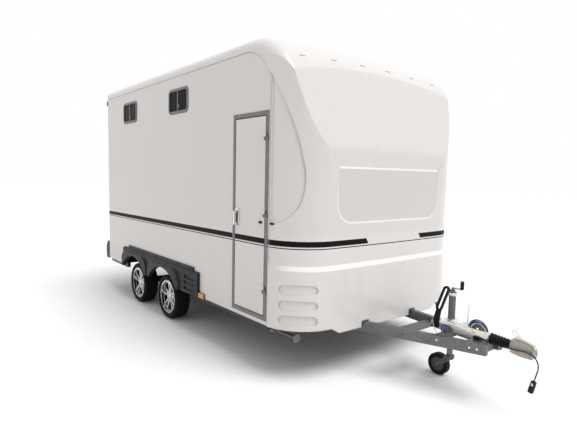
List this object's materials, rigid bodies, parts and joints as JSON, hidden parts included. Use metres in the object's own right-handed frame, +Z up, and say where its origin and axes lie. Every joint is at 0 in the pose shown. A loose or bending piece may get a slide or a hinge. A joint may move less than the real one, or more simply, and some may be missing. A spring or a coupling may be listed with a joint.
{
  "type": "two-axle horse trailer",
  "caption": "White towed horse trailer with moulded nose and roof, groom's door, side ramp under split doors, tandem wheels, A-frame drawbar and jockey wheel.",
  "frame": {"origin": "centre of the bounding box at the level the wheels stand on, measured without the plug cable", "axes": "+X towards the coupling, +Y to the trailer's left side, +Z up"},
  "size_m": [5.908, 2.376, 2.955],
  "materials": {
    "white_panel": "gloss",
    "white_moulding": "gloss",
    "anodised": "satin",
    "dark_glass": "tinted",
    "black_moulding": "satin",
    "deck_board": "matt",
    "galvanised": "galvanised",
    "cast_grey": "plated",
    "tyre_rubber": "matt",
    "alloy": "bright",
    "chrome": "polished",
    "rubber": "matt",
    "lamp_red": "lens",
    "lamp_amber": "lens",
    "rusty_steel": "rusty"
  },
  "bodies": {
    "trailer": {"nose_moulding": "white_moulding", "roof_moulding": "white_moulding", "roof_vent": "white_moulding", "side_wall_right": "white_panel", "side_wall_left": "white_panel", "rear_wall": "white_panel", "window_frames": "anodised", "window_glass": "dark_glass", "door_frame": "anodised", "ramp_frame": "anodised", "floor_deck": "deck_board", "wheel_boxes": "galvanised", "chassis": "galvanised", "axle_front": "galvanised", "axle_rear": "galvanised", "fender_right": "black_moulding", "fender_left": "black_moulding", "rear_bumper": "black_moulding", "tail_lamps": "lamp_red", "outline_lamps": "rubber", "side_markers": "lamp_amber", "side_reflectors": "lamp_red", "drawbar": "galvanised", "overrun_housing": "cast_grey", "shaft_gaiter": "rubber", "coupling_head": "cast_grey", "coupling_handle": "cast_grey", "handbrake_lever": "rubber", "jockey_clamp": "cast_grey", "jockey_tube": "galvanised", "plug_cable": "rubber", "cable_plug": "black_moulding", "cable_gland": "rubber"},
    "groom_door_leaf": {"groom_door": "white_panel", "door_handle": "chrome"},
    "ramp": {"side_ramp": "white_panel"},
    "top_leaf_front": {"top_door_front": "white_panel"},
    "top_leaf_rear": {"top_door_rear": "white_panel"},
    "wheel_front_right": {"tyre_front_right": "tyre_rubber", "rim_front_right": "alloy"},
    "wheel_rear_right": {"tyre_rear_right": "tyre_rubber", "rim_rear_right": "alloy"},
    "wheel_front_left": {"tyre_front_left": "tyre_rubber", "rim_front_left": "alloy"},
    "wheel_rear_left": {"tyre_rear_left": "tyre_rubber", "rim_rear_left": "alloy"},
    "stand_right": {"prop_stand_right": "galvanised"},
    "stand_left": {"prop_stand_left": "galvanised"},
    "jockey_slide": {"jockey_stem": "galvanised"},
    "jockey_castor": {"jockey_fork": "rusty_steel"},
    "jockey_roller": {"jockey_wheel": "rubber"}
  },
  "joints": [
    {"name": "groom_door_hinge", "type": "hinge", "parent": "trailer", "child": "groom_door_leaf", "pos_m": [1.167, -1.153, 1.36], "axis": [0, 0, 1], "range_deg": [0, 175]},
    {"name": "ramp_hinge", "type": "hinge", "parent": "trailer", "child": "ramp", "pos_m": [0.588, 1.153, 0.536], "axis": [-1, 0, 0], "range_deg": [0, 113]},
    {"name": "top_door_front_hinge", "type": "hinge", "parent": "trailer", "child": "top_leaf_front", "pos_m": [1.085, 1.153, 2.2], "axis": [0, 0, -1], "range_deg": [0, 175]},
    {"name": "top_door_rear_hinge", "type": "hinge", "parent": "trailer", "child": "top_leaf_rear", "pos_m": [0.09, 1.153, 2.2], "axis": [0, 0, 1], "range_deg": [0, 175]},
    {"name": "wheel_front_right_spin", "type": "hinge", "parent": "trailer", "child": "wheel_front_right", "pos_m": [-0.825, -1.025, 0.26], "axis": [0, 1, 0], "continuous": true},
    {"name": "wheel_rear_right_spin", "type": "hinge", "parent": "trailer", "child": "wheel_rear_right", "pos_m": [-1.73, -1.025, 0.26], "axis": [0, 1, 0], "continuous": true},
    {"name": "wheel_front_left_spin", "type": "hinge", "parent": "trailer", "child": "wheel_front_left", "pos_m": [-0.825, 1.025, 0.26], "axis": [0, 1, 0], "continuous": true},
    {"name": "wheel_rear_left_spin", "type": "hinge", "parent": "trailer", "child": "wheel_rear_left", "pos_m": [-1.73, 1.025, 0.26], "axis": [0, 1, 0], "continuous": true},
    {"name": "prop_stand_right_fold", "type": "hinge", "parent": "trailer", "child": "stand_right", "pos_m": [1.12, -1, 0.376], "axis": [0, 1, 0], "range_deg": [0, 90]},
    {"name": "prop_stand_left_fold", "type": "hinge", "parent": "trailer", "child": "stand_left", "pos_m": [1.12, 1, 0.376], "axis": [0, 1, 0], "range_deg": [0, 90]},
    {"name": "jockey_wind", "type": "slide", "parent": "trailer", "child": "jockey_slide", "axis": [0, 0, 1], "range_m": [0, 0.16]},
    {"name": "jockey_swivel", "type": "hinge", "parent": "jockey_slide", "child": "jockey_castor", "pos_m": [2.16, 0.14, 0.19], "axis": [0, 0, 1], "continuous": true},
    {"name": "jockey_roll", "type": "hinge", "parent": "jockey_castor", "child": "jockey_roller", "pos_m": [2.06, 0.14, 0.095], "axis": [0, 1, 0], "continuous": true}
  ]
}
